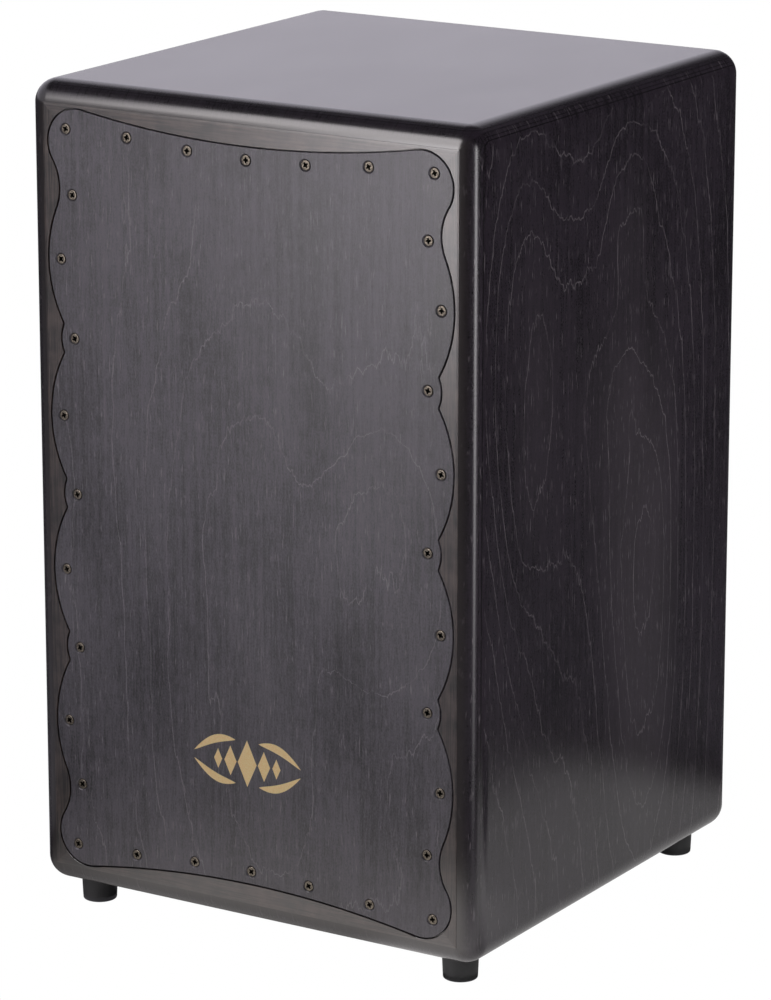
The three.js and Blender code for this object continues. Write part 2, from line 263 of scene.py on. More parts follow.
def figure_group(name, peaks, slope, waver, level=0.0):
    """A node group that gives the height of the growth rings at (across, along), as a sum of low hills.
    Its level lines are the rings that the veneer's knife has cut through."""
    group = bpy.data.node_groups.new(name, "ShaderNodeTree")
    group.interface.new_socket("Across", in_out="INPUT", socket_type="NodeSocketFloat")
    group.interface.new_socket("Along", in_out="INPUT", socket_type="NodeSocketFloat")
    group.interface.new_socket("Height", in_out="OUTPUT", socket_type="NodeSocketFloat")
    nodes = Nodes(group)
    given = nodes.add("NodeGroupInput").outputs
    across, along = given[0], given[1]
    height = nodes.plus(nodes.times(across, slope[0]), nodes.times(along, slope[1]))
    height = nodes.plus(height, level)
    for rise, (x, z), (wide, tall) in peaks:
        u = nodes.over(nodes.minus(across, x), wide)
        v = nodes.over(nodes.minus(along, z), tall)
        far = nodes.plus(nodes.times(u, u), nodes.times(v, v))
        hill = nodes.over(rise, nodes.plus(1.0, nodes.times(far, far)))
        height = nodes.plus(height, hill)
    wide_noise = nodes.stretched(across, along, 14, 8)
    fibre = nodes.stretched(across, along, 160, 14, 3.0, 0.6)
    for noise, share in ((wide_noise, waver[0]), (fibre, waver[1])):
        centred = nodes.minus(noise, 0.5)
        height = nodes.plus(height, nodes.times(centred, share))
    nodes.put(nodes.add("NodeGroupOutput").inputs[0], height)
    return group


def ring_lines(nodes, group, across, along, width):
    """Thin lines of even width where the figure's height passes a whole number."""
    step = 0.4 * MM

    def height(a, b):
        node = nodes.add("ShaderNodeGroup", node_tree=group)
        nodes.put(node.inputs[0], a)
        nodes.put(node.inputs[1], b)
        return node.outputs[0]

    here = height(across, along)
    da = nodes.minus(height(nodes.plus(across, step), along), here)
    db = nodes.minus(height(across, nodes.plus(along, step)), here)
    steep = nodes.math("MAXIMUM", nodes.length(da, db), 0.002)
    off = nodes.math("ABSOLUTE", nodes.minus(nodes.math("FRACT", here), 0.5))
    away = nodes.times(nodes.over(off, steep), step)
    return nodes.band(away, 0.15 * width, width, 1.0, 0.0), here


def veneer(name, axes, group, tones, line, depth=None, lacquer=(0.45, 1.0, 0.2), gloss=0.06, texture=0.15):
    """Stained veneer. axes are (across, along), tones are (dark, light), line is (colour, width, strength).
    depth is (axis, level, sign), from which a point's depth below the outer face is measured: it shows the
    plies at a rounded edge. lacquer is (roughness, coat weight, coat roughness)."""
    roughness, coat, coat_roughness = lacquer
    material, shader, nodes, where, at = new_material(
        name, Coat_Weight=coat, Coat_Roughness=coat_roughness, Specular_IOR_Level=gloss)
    across, along = (at[axis] for axis in axes)
    stretched = lambda *shape: nodes.stretched(across, along, *shape)
    hair = stretched(900, 95, 3.0, 0.7)
    grit = stretched(1300, 700, 2.0, 0.6)
    streak = stretched(260, 7, 2.0, 0.6)
    chatter = stretched(45, 170, 3.0, 0.6)
    cloud = stretched(17, 9, 3.0, 0.55)
    parts = ((hair, 0.9), (grit, 0.7), (streak, 0.58), (chatter, 0.17), (cloud, 0.8))
    tone = 0.0
    for noise, share in parts:
        tone = nodes.plus(nodes.times(noise, share), tone)
    colour = nodes.mix(nodes.band(tone, 1.15, 1.85), tones[0], tones[1])
    flecks = nodes.band(stretched(800, 70, 2.0, 0.7), 0.60, 0.72)
    colour = nodes.mix(nodes.times(flecks, 0.34), colour, line[0])
    rings, height = ring_lines(nodes, group, across, along, line[1])
    paler = nodes.band(height, 2.0, 6.5, 0.0, 0.10)
    colour = nodes.mix(paler, colour, line[0])
    patchy = nodes.band(stretched(50, 16, 3.0, 0.7), 0.36, 0.60, 0.20, 1.0)
    broken = nodes.band(grit, 0.25, 0.55, 0.45, 1.0)
    rings = nodes.times(nodes.times(rings, patchy), broken)
    if depth:
        axis, level, sign = depth
        below = nodes.times(nodes.minus(level, at[axis]), sign)
        rings = nodes.times(rings, nodes.band(below, 0.2 * MM, 0.9 * MM, 1.0, 0.0))
    colour = nodes.mix(nodes.times(rings, line[2]), colour, line[0])
    if depth:
        colour = plies(nodes, colour, below, tones)
    nodes.put(shader.inputs["Base Color"], colour)
    uneven = nodes.band(nodes.plus(hair, cloud), 0.7, 1.3, roughness - 0.06, roughness + 0.08)
    nodes.put(shader.inputs["Roughness"], uneven)
    nodes.put(shader.inputs["Normal"], nodes.bump(nodes.plus(hair, grit), texture, 0.05 * MM))
    return material


RUBBED_STAIN = (0.026, 0.0205, 0.019)
# (depth in millimetres, half width, strength) of each glue line
PLY_LINES = [
    (1.4, 0.22, 0.75), (2.5, 0.22, 0.6), (3.9, 0.2, 0.3), (5.3, 0.2, 0.25), (6.7, 0.2, 0.25), (8.1, 0.2, 0.2),
]


def plies(nodes, colour, below, tones):
    """Where an edge is rounded through the sheet, thin dark glue lines and paler end-grain plies show."""
    for at_depth, wide, strength in PLY_LINES:
        off = nodes.math("ABSOLUTE", nodes.minus(below, at_depth * MM))
        glue = nodes.band(off, 0.3 * wide * MM, wide * MM, strength, 0.0)
        colour = nodes.mix(glue, colour, tuple(0.25 * c for c in tones[0]))
    return nodes.mix(nodes.band(below, 5 * MM, 10.5 * MM, 0.0, 0.8), colour, RUBBED_STAIN)


# ---------------------------------------------------------------- materials

SIDE_TONES = ((0.0035, 0.002, 0.0038), (0.026, 0.019, 0.0275))
SIDE_LINE = ((0.30, 0.265, 0.285), 0.45 * MM, 0.46)
TAPA_TONES = ((0.0025, 0.0022, 0.0032), (0.084, 0.075, 0.091))
TAPA_LINE = ((0.32, 0.30, 0.32), 0.45 * MM, 0.42)

# Hills are (rise, (across, along), (half width, half height)), placed from the box's front and bottom.
side_hills = [
    (4.5, (167, 350), (99, 195)),
    (4.4, (197, 100), (68, 205)),
    (3.4, (47, 336), (37, 125)),
    (1.7, (166, 416), (27, 50)),
    (2.2, (196, 132), (29, 107)),
    (-1.6, (145, 473), (49, 80)),
    (0.4, (106, 322), (36, 68)),
    (1.8, (62, 172), (47, 109)),
    (-2.9, (5, 75), (65, 176)),
    (0.9, (162, 300), (22, 35)),
]


def placed(hills, across_zero, along_zero, turn=1):
    """The hills in metres, counted from the given zeros. turn=-1 mirrors them."""
    moved = []
    for rise, (across, along), (wide, tall) in hills:
        middle = (across_zero + turn * across * MM, along_zero + along * MM)
        moved.append((rise, middle, (wide * MM, tall * MM)))
    return moved


# Slope of the right side's figure, in rings per metre, and its height at the front bottom corner.
SIDE_SLOPE = (-6.1, -2.1)
SIDE_LEVEL = -0.7 - SIDE_SLOPE[0] * FRONT - SIDE_SLOPE[1] * BOTTOM
tapa_hills = [(2.8, (88, 225), (42, 85)), (3.4, (-12, 170), (62, 200)), (1.2, (60, 40), (60, 70))]
top_hills = [(1.5, (40, 30), (60, 120))]
right_rings = placed(side_hills, FRONT, BOTTOM)
left_rings = placed(side_hills, BACK, BOTTOM, -1)
right_figure = figure_group("rings_right", right_rings, SIDE_SLOPE, (0.3, 0.5), SIDE_LEVEL)
left_figure = figure_group("rings_left", left_rings, (14, SIDE_SLOPE[1]), (2.4, 0.55))
tapa_figure = figure_group("rings_tapa", placed(tapa_hills, 0, BOTTOM), (10, 2), (1.2, 0.4))
top_figure = figure_group("rings_top", placed(top_hills, 0, 0), (18, 4), (1.6, 0.3))

TOP_LINE = ((0.04, 0.038, 0.043), 0.4 * MM, 0.25)
side_right = veneer("side_veneer_right", "yz", right_figure, SIDE_TONES, SIDE_LINE, ("x", HALF_WIDTH, 1))
side_left = veneer("side_veneer_left", "yz", left_figure, SIDE_TONES, SIDE_LINE, ("x", -HALF_WIDTH, -1))
side_top = veneer("top_veneer", "xy", top_figure, SIDE_TONES, TOP_LINE, ("z", TOP, 1))
side_bottom = veneer("bottom_veneer", "xy", top_figure, SIDE_TONES, SIDE_LINE, ("z", BOTTOM, -1))
back_veneer = veneer("back_veneer", "xz", tapa_figure, SIDE_TONES, SIDE_LINE)
TAPA_LACQUER = (0.42, 0.2, 0.3)
tapa_veneer = veneer(
    "tapa_veneer", "xz", tapa_figure, TAPA_TONES, TAPA_LINE, None, TAPA_LACQUER, gloss=0.3, texture=0.5)


def surround_material(name, axes, gloss):
    """Stained solid wood, rubbed through a little, so that it looks mottled."""
    material, shader, nodes, where, at = new_material(
        name, Roughness=0.45, Coat_Weight=0.75, Coat_Roughness=0.24, Specular_IOR_Level=gloss)
    across, along = (at[axis] for axis in axes)
    blotch = nodes.noise(where, 60, 4.0, 0.6)
    grain = nodes.stretched(across, along, 900, 30, 3.0, 0.6)
    tone = nodes.plus(nodes.times(blotch, 0.55), nodes.times(grain, 0.65))
    colour = nodes.mix(nodes.band(tone, 0.42, 0.85), (0.008, 0.006, 0.006), (0.082, 0.058, 0.051))
    nodes.put(shader.inputs["Base Color"], colour)
    nodes.put(shader.inputs["Normal"], nodes.bump(nodes.noise(where, 800, 3.0, 0.7), 0.5, 0.05 * MM))
    return material


rail_across = surround_material("surround_rail", "zx", 0.29)
rail_upright = surround_material("surround_stile", "xz", 0.18)


def raw_birch_material():
    material, shader, nodes, where, at = new_material("raw_birch", Roughness=0.7)
    spread = [nodes.times(at[axis], often) for axis, often in (("x", 500), ("y", 500), ("z", 25))]
    grain = nodes.noise(nodes.vector(*spread), 1.0, 3.0, 0.6)
    colour = nodes.mix(nodes.band(grain, 0.3, 0.7), (0.42, 0.27, 0.14), (0.66, 0.48, 0.28))
    nodes.put(shader.inputs["Base Color"], colour)
    nodes.put(shader.inputs["Normal"], nodes.bump(grain, 0.2, 0.1 * MM))
    return material


def metal_material(name, dark, light, roughness, wear=400):
    material, shader, nodes, where, at = new_material(name, Metallic=1.0)
    patina = nodes.noise(where, wear, 4.0, 0.65)
    nodes.put(shader.inputs["Base Color"], nodes.mix(nodes.band(patina, 0.35, 0.68), dark, light))
    nodes.put(shader.inputs["Roughness"], nodes.band(patina, 0.3, 0.7, roughness + 0.12, roughness))
    nodes.put(shader.inputs["Normal"], nodes.bump(patina, 0.15, 0.03 * MM))
    return material


def rubber_material():
    material, shader, nodes, where, at = new_material("foot_rubber", Specular_IOR_Level=0.35)
    grit = nodes.noise(where, 2200, 3.0, 0.6)
    nodes.put(shader.inputs["Base Color"], nodes.mix(grit, (0.027, 0.027, 0.0275), (0.056, 0.056, 0.057)))
    nodes.put(shader.inputs["Roughness"], nodes.band(grit, 0.3, 0.7, 0.55, 0.75))
    nodes.put(shader.inputs["Normal"], nodes.bump(grit, 0.25, 0.05 * MM))
    return material


def wound_material():
    """Round-wound bronze string: the winding shows as fine rings along its length."""
    material, shader, nodes, where, at = new_material("wound_bronze", Metallic=1.0, Roughness=0.3)
    winding = nodes.math("SINE", nodes.times(at["z"], 2 * math.pi / (0.3 * MM)))
    tarnish = nodes.noise(where, 90, 3.0)
    nodes.put(shader.inputs["Base Color"], nodes.mix(tarnish, (0.30, 0.18, 0.07), (0.62, 0.42, 0.20)))
    nodes.put(shader.inputs["Normal"], nodes.bump(winding, 0.5, 0.05 * MM))
    return material


def gold_material():
    material, shader, nodes, where, at = new_material("ornament_gold", Roughness=0.5)
    speck = nodes.noise(where, 1800, 3.0, 0.6)
    colour = nodes.mix(nodes.band(speck, 0.3, 0.7), (0.96, 0.65, 0.26), (1.0, 0.77, 0.36))
    nodes.put(shader.inputs["Base Color"], colour)
    return material


# Painted shadow: a near-black finish for the walls of the tapa's screw holes, standing in for the shade in
# the gap round each screw head.
painted_hole_shadow, *_ = new_material(
    "painted_hole_shadow", Base_Color=(0.004, 0.003, 0.003, 1), Roughness=0.8, Specular_IOR_Level=0.1)
raw_birch = raw_birch_material()
bronze = metal_material("antique_bronze", (0.042, 0.037, 0.031), (0.135, 0.118, 0.095), 0.38, 900)
zinc = metal_material("zinc_steel", (0.35, 0.35, 0.37), (0.55, 0.55, 0.58), 0.28)
alloy = metal_material("brushed_alloy", (0.45, 0.46, 0.48), (0.66, 0.67, 0.69), 0.32)
rubber = rubber_material()
wound = wound_material()
gold = gold_material()


def bare_inside(obj, is_inside):
    """Faces that look into the box are left as raw birch."""
    obj.data.materials.append(raw_birch)
    bare = len(obj.data.materials) - 1
    for polygon in obj.data.polygons:
        if is_inside(polygon):
            polygon.material_index = bare


# ---------------------------------------------------------------- case panels

def side_turn(side):
    """Turns (along the strip, depth, outwards) into the row frame for that side of the box."""
    middle = Vector((0, 0, MIDDLE))
    turns = {
        "top": lambda u, y, w: middle + Vector((u, y, w)),
        "bottom": lambda u, y, w: middle + Vector((-u, y, -w)),
        "right": lambda u, y, w: middle + Vector((w, y, -u)),
        "left": lambda u, y, w: middle + Vector((-w, y, u)),
    }
    return turns[side]


def panel(side, half_length, level):
    """A mitred panel whose outer face runs into the box's rounded edges."""
    radius = EDGE_RADIUS
    place = side_turn(side)
    core_u, core_w, core_y = half_length - radius, level - radius, HALF_DEPTH - radius
    steps = 10
    mitre = math.radians(45) - SEAM / radius
    curl = [mitre * (1 - k / steps) for k in range(steps + 1)]
    support = 0.4 * MM
    rows = [(-core_u, -a) for a in curl] + [(-core_u + support, 0), (core_u - support, 0)]
    rows += [(core_u, a) for a in reversed(curl)]
    grid = []
    for u, alpha in rows:
        inner = math.acos((radius - WALL) / (radius * math.cos(alpha)))
        turnover = [inner * (1 - k / steps) for k in range(steps + 1)]
        columns = [(-core_y, -b) for b in turnover] + [(-core_y + support, 0), (core_y - support, 0)]
        columns += [(core_y, b) for b in reversed(turnover)]
        line = []
        for y, beta in columns:
            n = (math.cos(beta) * math.sin(alpha), math.sin(beta), math.cos(beta) * math.cos(alpha))
            line.append(place(u + radius * n[0], y + radius * n[1], core_w + radius * n[2]))
        grid.append(line)
    wide, deep = len(grid), len(grid[0])
    verts = [p for line in grid for p in line]
    at = lambda i, j: i * deep + j
    faces = []
    for i in range(wide - 1):
        for j in range(deep - 1):
            faces.append((at(i, j), at(i + 1, j), at(i + 1, j + 1), at(i, j + 1)))
    faces.append([at(i, 0) for i in range(wide)] + [at(i, deep - 1) for i in reversed(range(wide))])
    faces.append([at(0, j) for j in range(deep)])
    faces.append([at(wide - 1, j) for j in range(deep)])
    return mesh_object(f"{side}_panel_shell", verts, faces)


panels = {
    "top": (HALF_WIDTH, HALF_HEIGHT, side_top),
    "bottom": (HALF_WIDTH, HALF_HEIGHT, side_bottom),
    "left": (HALF_HEIGHT, HALF_WIDTH, side_left),
    "right": (HALF_HEIGHT, HALF_WIDTH, side_right),
}
screw_holes = [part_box(f"tension_screw_{side}") for side in ("left", "right")]


def middle_of(pair):
    return (pair[0] + pair[1]) / 2


for side, (half_length, level, material) in panels.items():
    shell = panel(side, half_length, level)
    if side == "bottom":
        for pair in screw_holes:
            centre = middle_of(pair)
            profile = [(0, -2), (5, -2), (5, 5.7), (2.9, 5.7), (2.9, 16), (0, 16)]
            bore = turned("bore", in_metres(profile), 40)
            bore.location = (centre.x, centre.y, BOTTOM)
            cut(shell, bore)
    shade(shell)
    finish_piece(shell, "case", material, "case_veneer", f"{side}_panel")
    inwards = side_turn(side)(0, 0, -1) - side_turn(side)(0, 0, 0)
    bare_inside(shell, lambda polygon: polygon.normal.dot(inwards) > 0.9 and polygon.area > 0.01)


# ---------------------------------------------------------------- the tapa's scalloped outline

BULGE = (75, 60.5, (46, 138))
BUMP = (20, 107.4, (0, 92))
NICK, VALLEY = 2, 30
LOBE = (20, 114.7, 206)
TOP_MIDDLE = 216


def touching(a, b, radius):
    """The hollow circle that touches swells a and b from outside."""
    (ax, az, ar, _), (bx, bz, br, _) = a, b
    gap = math.hypot(bx - ax, bz - az)
    along = ((ar + radius) ** 2 - (br + radius) ** 2 + gap ** 2) / (2 * gap)
    off = -math.sqrt((ar + radius) ** 2 - along ** 2)
    dx, dz = (bx - ax) / gap, (bz - az) / gap
    return (ax + along * dx - off * dz, az + along * dz + off * dx, radius, -1)


def outline_circles():
    """(x, z, radius, 1 for a swell or -1 for a hollow), in millimetres from the tapa's centre."""
    bumps = [(BUMP[1], z, BUMP[0], 1) for z in BUMP[2]]
    bulges = [(BULGE[1], z, BULGE[0], 1) for z in BULGE[2]]
    lobe = (LOBE[1], LOBE[2], LOBE[0], 1)
    rise = TOP_MIDDLE - LOBE[2]
    arch = (LOBE[1] ** 2 + rise ** 2 - LOBE[0] ** 2) / (2 * (LOBE[0] - rise))
    inner = [
        touching(bumps[0], bulges[0], NICK), bulges[0], touching(bulges[0], bumps[1], NICK), bumps[1],
        touching(bumps[1], bulges[1], NICK), bulges[1], touching(bulges[1], lobe, VALLEY), lobe,
    ]
    side, top = bumps[0], (0, TOP_MIDDLE + arch, arch, -1)
    flip = lambda circles, sx, sz: [(sx * x, sz * z, r, kind) for x, z, r, kind in circles]
    return ([side] + inner + [top] + flip(inner, -1, 1)[::-1] + flip([side], -1, 1)
            + flip(inner, -1, -1) + flip([top], 1, -1) + flip(inner, 1, -1)[::-1])


def outline(grow, fineness=0.012):
    """Points (x, z) in metres round the outline, moved outwards by grow millimetres.
    Their count doesn't depend on grow."""
    ring = outline_circles()
    points = []
    for i, (x, z, r, kind) in enumerate(ring):
        before, after = ring[i - 1], ring[(i + 1) % len(ring)]
        start = math.atan2(before[1] - z, before[0] - x)
        end = math.atan2(after[1] - z, after[0] - x)
        sweep = ((end - start) * kind) % (2 * math.pi)
        count = max(3, math.ceil(sweep / (2 * math.acos(1 - fineness / r))))
        reach = r + kind * grow
        for k in range(count):
            angle = start + kind * sweep * k / count
            points.append(((x + reach * math.cos(angle)) * MM, (z + reach * math.sin(angle)) * MM))
    return points


# ---------------------------------------------------------------- tapa

GAP = 0.9
HOLE = {"rim": 3.85, "mouth": 3.7, "throat": 1.9}
screw_nodes = sorted(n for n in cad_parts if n.startswith("tapa_screw_"))
screw_spots = [(middle_of(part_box(n)).x, middle_of(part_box(n)).z) for n in screw_nodes]


def flatten_plates(obj):
    """The flat faces in front and behind keep their own normals, so that no roundness bleeds into them."""
    for polygon in obj.data.polygons:
        if abs(polygon.normal.y) > 0.9999:
            polygon.use_smooth = False


def flat_fill(bm, loops):
    edges = []
    for loop in loops:
        for a, b in zip(loop, loop[1:] + loop[:1]):
            edges.append(bm.edges.get((a, b)) or bm.edges.new((a, b)))
    bmesh.ops.triangle_fill(bm, use_beauty=True, use_dissolve=False, edges=edges)


def bridge(bm, first, second, material_index=0):
    count = len(first)
    for k in range(count):
        n = (k + 1) % count
        face = bm.faces.new((first[k], first[n], second[n], second[k]))
        face.material_index = material_index


def circle_rows(bm, centre_x, centre_z, profile, sides):
    """Rings of corners round an axis along Y. The profile is [(radius, y)]."""
    rings = []
    for radius, y in profile:
        ring = []
        for k in range(sides):
            angle = 2 * math.pi * k / sides
            x, z = centre_x + radius * math.cos(angle), centre_z + radius * math.sin(angle)
            ring.append(bm.verts.new((x, y, z)))
        rings.append(ring)
    return rings


def plate_object(name, bm, smooth_angle):
    bmesh.ops.recalc_face_normals(bm, faces=bm.faces)
    mesh = bpy.data.meshes.new(name)
    bm.to_mesh(mesh)
    bm.free()
    obj = new_object(name, mesh)
    shade(obj, smooth_angle)
    flatten_plates(obj)
    return obj


def tapa_piece():
    bm = bmesh.new()
    trim = -GAP / 2
    steps = [(trim - 0.28, 0.0), (trim - 0.09, 0.08), (trim, 0.28)]
    thick = (TAPA_BACK - FRONT) / MM
    rim = [[bm.verts.new((x, FRONT + y * MM, MIDDLE + z)) for x, z in outline(grow)] for grow, y in steps]
    rim.append([bm.verts.new((x, TAPA_BACK, MIDDLE + z)) for x, z in outline(trim)])
    for first, second in zip(rim, rim[1:]):
        bridge(bm, first, second)
    sides = 32
    face_loops, back_loops = [rim[0]], [rim[-1]]
    depths = [(HOLE["rim"], 0.0), (HOLE["mouth"], 0.1), (HOLE["throat"], 1.9), (HOLE["throat"], thick)]
    hole = [(radius * MM, FRONT + y * MM) for radius, y in depths]
    for cx, cz in screw_spots:
        rings = circle_rows(bm, cx, cz, hole, sides)
        for first, second in zip(rings, rings[1:]):
            # the hole walls take the second slot, the near-black painted shadow
            bridge(bm, first, second, 1)
        face_loops.append(rings[0])
        back_loops.append(rings[-1])
    flat_fill(bm, face_loops)
    flat_fill(bm, back_loops)
    return plate_object("tapa_plate", bm, 50)


plate = finish_piece(tapa_piece(), "case", tapa_veneer, "tapa_veneer", "tapa")
# the second slot is the painted shadow of the screw holes
plate.data.materials.append(painted_hole_shadow)
bare_inside(plate, lambda polygon: polygon.normal.y > 0.9)


# ---------------------------------------------------------------- front frame

def edge_drop():
    """How far the rounded edge has fallen back where the case panels' thickness ends."""
    return EDGE_RADIUS - math.sqrt(EDGE_RADIUS ** 2 - (EDGE_RADIUS - WALL) ** 2)


def ease_rim(obj, rim):
    """Rounds the edges between neighbouring rim points, given as (x, z), on the front face only."""
    bm = bmesh.new()
    bm.from_mesh(obj.data)
    on_rim = lambda v: v.co.y < FRONT + 0.01 * MM and (round(v.co.x, 6), round(v.co.z, 6)) in rim
    edges = [e for e in bm.edges if on_rim(e.verts[0]) and on_rim(e.verts[1]) and e.calc_length() < 6 * MM]
    bmesh.ops.bevel(bm, geom=edges, offset=0.2 * MM, segments=2, profile=0.5, affect="EDGES")
    bm.to_mesh(obj.data)
    bm.free()
    shade(obj, 35)
    flatten_plates(obj)


def frame_strip(name, side, material):
    """One mitred strip of the front frame, with its share of the scalloped pocket."""
    hw, hh = HALF_WIDTH - WALL - SEAM, HALF_HEIGHT - WALL - SEAM
    lip = 1.2 * MM
    drop = edge_drop()
    turn = {
        "right": lambda x, z: (x, z), "left": lambda x, z: (-x, -z),
        "top": lambda x, z: (z, -x), "bottom": lambda x, z: (-z, x),
    }[side]
    back = {
        "right": lambda a, b: (a, b), "left": lambda a, b: (-a, -b),
        "top": lambda a, b: (-b, a), "bottom": lambda a, b: (b, -a),
    }[side]
    level, half = (hw, hh) if side in ("left", "right") else (hh, hw)
    inner_level = RAIL_INNER_X if side in ("left", "right") else RAIL_INNER_Z
    # in the strip's own (outwards, along) frame the mitre lines are along = +-(outwards + half - level)
    points = [turn(x, z) for x, z in outline(GAP / 2)]
    start = min(range(len(points)), key=lambda k: points[k][0])
    points = points[start:] + points[:start]
    inside = lambda p: (level - p[0]) - (half - abs(p[1]))
    run = []
    for p, q in zip(points, points[1:] + points[:1]):
        fp, fq = inside(p), inside(q)
        if fp < 0:
            run.append(p)
        if (fp < 0) != (fq < 0) and p[0] > 0:
            t = fp / (fp - fq)
            run.append((p[0] + t * (q[0] - p[0]), p[1] + t * (q[1] - p[1])))
    if run[0][1] > run[-1][1]:
        run.reverse()
    pocket = TAPA_BACK + 0.1 * MM
    end = lambda w: half - (level - w)
    rear = RAIL_BACK
    verts = []

    def add(a, b, y):
        x, z = back(a, b)
        verts.append((x, y, MIDDLE + z))
        return len(verts) - 1

    lip_level = level - lip
    lip_lo, lip_hi = add(lip_level, -end(lip_level), FRONT), add(lip_level, end(lip_level), FRONT)
    out_lo, out_hi = add(level, -half, FRONT + drop), add(level, half, FRONT + drop)
    far_lo, far_hi = add(level, -half, rear), add(level, half, rear)
    front_run = [add(a, b, FRONT) for a, b in run]
    floor_run = [add(a, b, pocket) for a, b in run]
    in_lo, in_hi = add(inner_level, -end(inner_level), pocket), add(inner_level, end(inner_level), pocket)
    deep_lo, deep_hi = add(inner_level, -end(inner_level), rear), add(inner_level, end(inner_level), rear)
    faces = [
        [lip_lo, lip_hi] + front_run[::-1],
        [lip_lo, out_lo, out_hi, lip_hi],
        [out_lo, far_lo, far_hi, out_hi],
        floor_run + [in_hi, in_lo],
        [in_lo, in_hi, deep_hi, deep_lo],
        [far_lo, deep_lo, deep_hi, far_hi],
        [lip_lo, front_run[0], floor_run[0], in_lo, deep_lo, far_lo, out_lo],
        [lip_hi, out_hi, far_hi, deep_hi, in_hi, floor_run[-1], front_run[-1]],
    ]
    for k in range(len(run) - 1):
        faces.append([front_run[k], front_run[k + 1], floor_run[k + 1], floor_run[k]])
    strip = mesh_object(name, verts, faces)
    ease_rim(strip, {(round(v[0], 6), round(v[2], 6)) for v in (verts[k] for k in front_run)})
    return strip


strips = {
    "front_top_rail": ("top", rail_across), "front_bottom_rail": ("bottom", rail_across),
    "front_left_stile": ("left", rail_upright), "front_right_stile": ("right", rail_upright),
}
for node, (side, material) in strips.items():
    finish_piece(frame_strip(node + "_profiled", side, material), "case", material, "frame_wood", node)


# ---------------------------------------------------------------- tapa screws

def screw_mesh():
    """Countersunk screw, head at the origin facing -Y, with a cross recess whose wings taper."""
    profile = [
        (0, 0.02), (2.2, 0.0), (2.6, 0.02), (2.8, 0.10), (3.1, 0.40),
        (1.5, 1.95), (1.5, 2.6), (1.35, 2.8), (1.35, 12.0), (0, 15.6),
    ]
    screw = turned("screw", in_metres(profile), 32, "Y")
    long, thin, deep = 1.75 * MM, 0.55 * MM, 1.5 * MM
    for turn in (0, math.pi / 2):
        top = [(-long, -thin), (long, -thin), (long, thin), (-long, thin)]
        low = [(0.5 * a, 0.5 * b) for a, b in top]
        verts = [(a * 1.1, -0.3 * MM, b * 1.1) for a, b in top] + [(a, deep, b) for a, b in low]
        faces = [(0, 1, 2, 3), (4, 5, 6, 7)] + [(k, (k + 1) % 4, 4 + (k + 1) % 4, 4 + k) for k in range(4)]
        wing = mesh_object("wing", verts, faces)
        wing.rotation_euler = (0, turn, 0)
        cut(screw, wing)
    core = [(0, -0.5), (1.15, -0.5), (1.1, 0.3), (0.5, 1.9), (0, 2.1)]
    cut(screw, turned("core", in_metres(core), 16, "Y"))
    mesh = screw.data
    bpy.data.objects.remove(screw)
    return mesh


def painted_recess_shade(material):
    """The recess and the flank of the countersunk head are painted near black: painted shade standing in for
    the shadow in the cross recess and in the gap round the head.
    """
    nodes = Nodes(material.node_tree)
    shader = material.node_tree.nodes["Principled BSDF"]
    unshaded = shader.inputs["Base Color"].links[0].from_socket
    split = nodes.add("ShaderNodeSeparateXYZ")
    nodes.put(split.inputs[0], nodes.add("ShaderNodeTexCoord").outputs["Object"])
    sunk = nodes.band(split.outputs["Y"], 0.06 * MM, 0.22 * MM)
    # painted shade: below the head's face the bronze is mixed to near black
    nodes.put(shader.inputs["Base Color"], nodes.mix(sunk, unshaded, (0.006, 0.005, 0.004)))
    return material


bronze = painted_recess_shade(bronze)
screw_data = screw_mesh()
screw_data.materials.clear()
screw_data.materials.append(bronze)
golden_turn = math.pi * (3 - math.sqrt(5))
for index, (node, (x, z)) in enumerate(zip(screw_nodes, screw_spots)):
    screw = new_object(node + "_cross", screw_data)
    shade(screw, 30)
    screw.location = (x, FRONT + 0.3 * MM, z)
    screw.rotation_euler = (0, index * golden_turn, 0)
    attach(screw, "case")
    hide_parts(node)


# ---------------------------------------------------------------- back

def back_piece():
    low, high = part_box("back_panel")
    lip = 1.2 * MM
    drop = edge_drop()
    hw, hh = HALF_WIDTH - WALL - SEAM, HALF_HEIGHT - WALL - SEAM
    bm = bmesh.new()
    corners = [(-1, -1), (1, -1), (1, 1), (-1, 1)]
    levels = [(hw - lip, hh - lip, BACK), (hw, hh, BACK - drop), (hw, hh, low.y)]
    rims = [[bm.verts.new((sx * w, y, MIDDLE + sz * h)) for sx, sz in corners] for w, h, y in levels]
    for first, second in zip(rims, rims[1:]):
        bridge(bm, first, second)
    centre_z, radius, fillet, sides = BOTTOM + 320 * MM, 58 * MM, 1.6 * MM, 96
    thick = BACK - low.y
    angles = [k * math.pi / 12 for k in range(7)]
    profile = [(radius + fillet * (1 - math.sin(a)), fillet * (1 - math.cos(a))) for a in angles]
    profile += [(r, thick - y) for r, y in reversed(profile)]
    rings = circle_rows(bm, 0, centre_z, [(r, BACK - y) for r, y in profile], sides)
    for first, second in zip(rings, rings[1:]):
        bridge(bm, first, second)
    flat_fill(bm, [rims[0], rings[0]])
    flat_fill(bm, [rims[-1], rings[-1]])
    return plate_object("back_board", bm, 40)


back_board = finish_piece(back_piece(), "case", back_veneer, "case_veneer", "back_panel")
bare_inside(back_board, lambda polygon: polygon.normal.y < -0.9)


def softened_copy(node, name, width, material, slot, body="case"):
    """The CAD node's own shape with its edges eased."""
    copy = new_object(name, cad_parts[node].data.copy())
    bm = bmesh.new()
    bm.from_mesh(copy.data)
    bmesh.ops.remove_doubles(bm, verts=bm.verts, dist=1e-5)
    bmesh.ops.dissolve_limit(bm, angle_limit=math.radians(1), verts=bm.verts, edges=bm.edges)
    bm.to_mesh(copy.data)
    bm.free()
    soften(copy, width)
    return finish_piece(copy, body, material, slot, node)


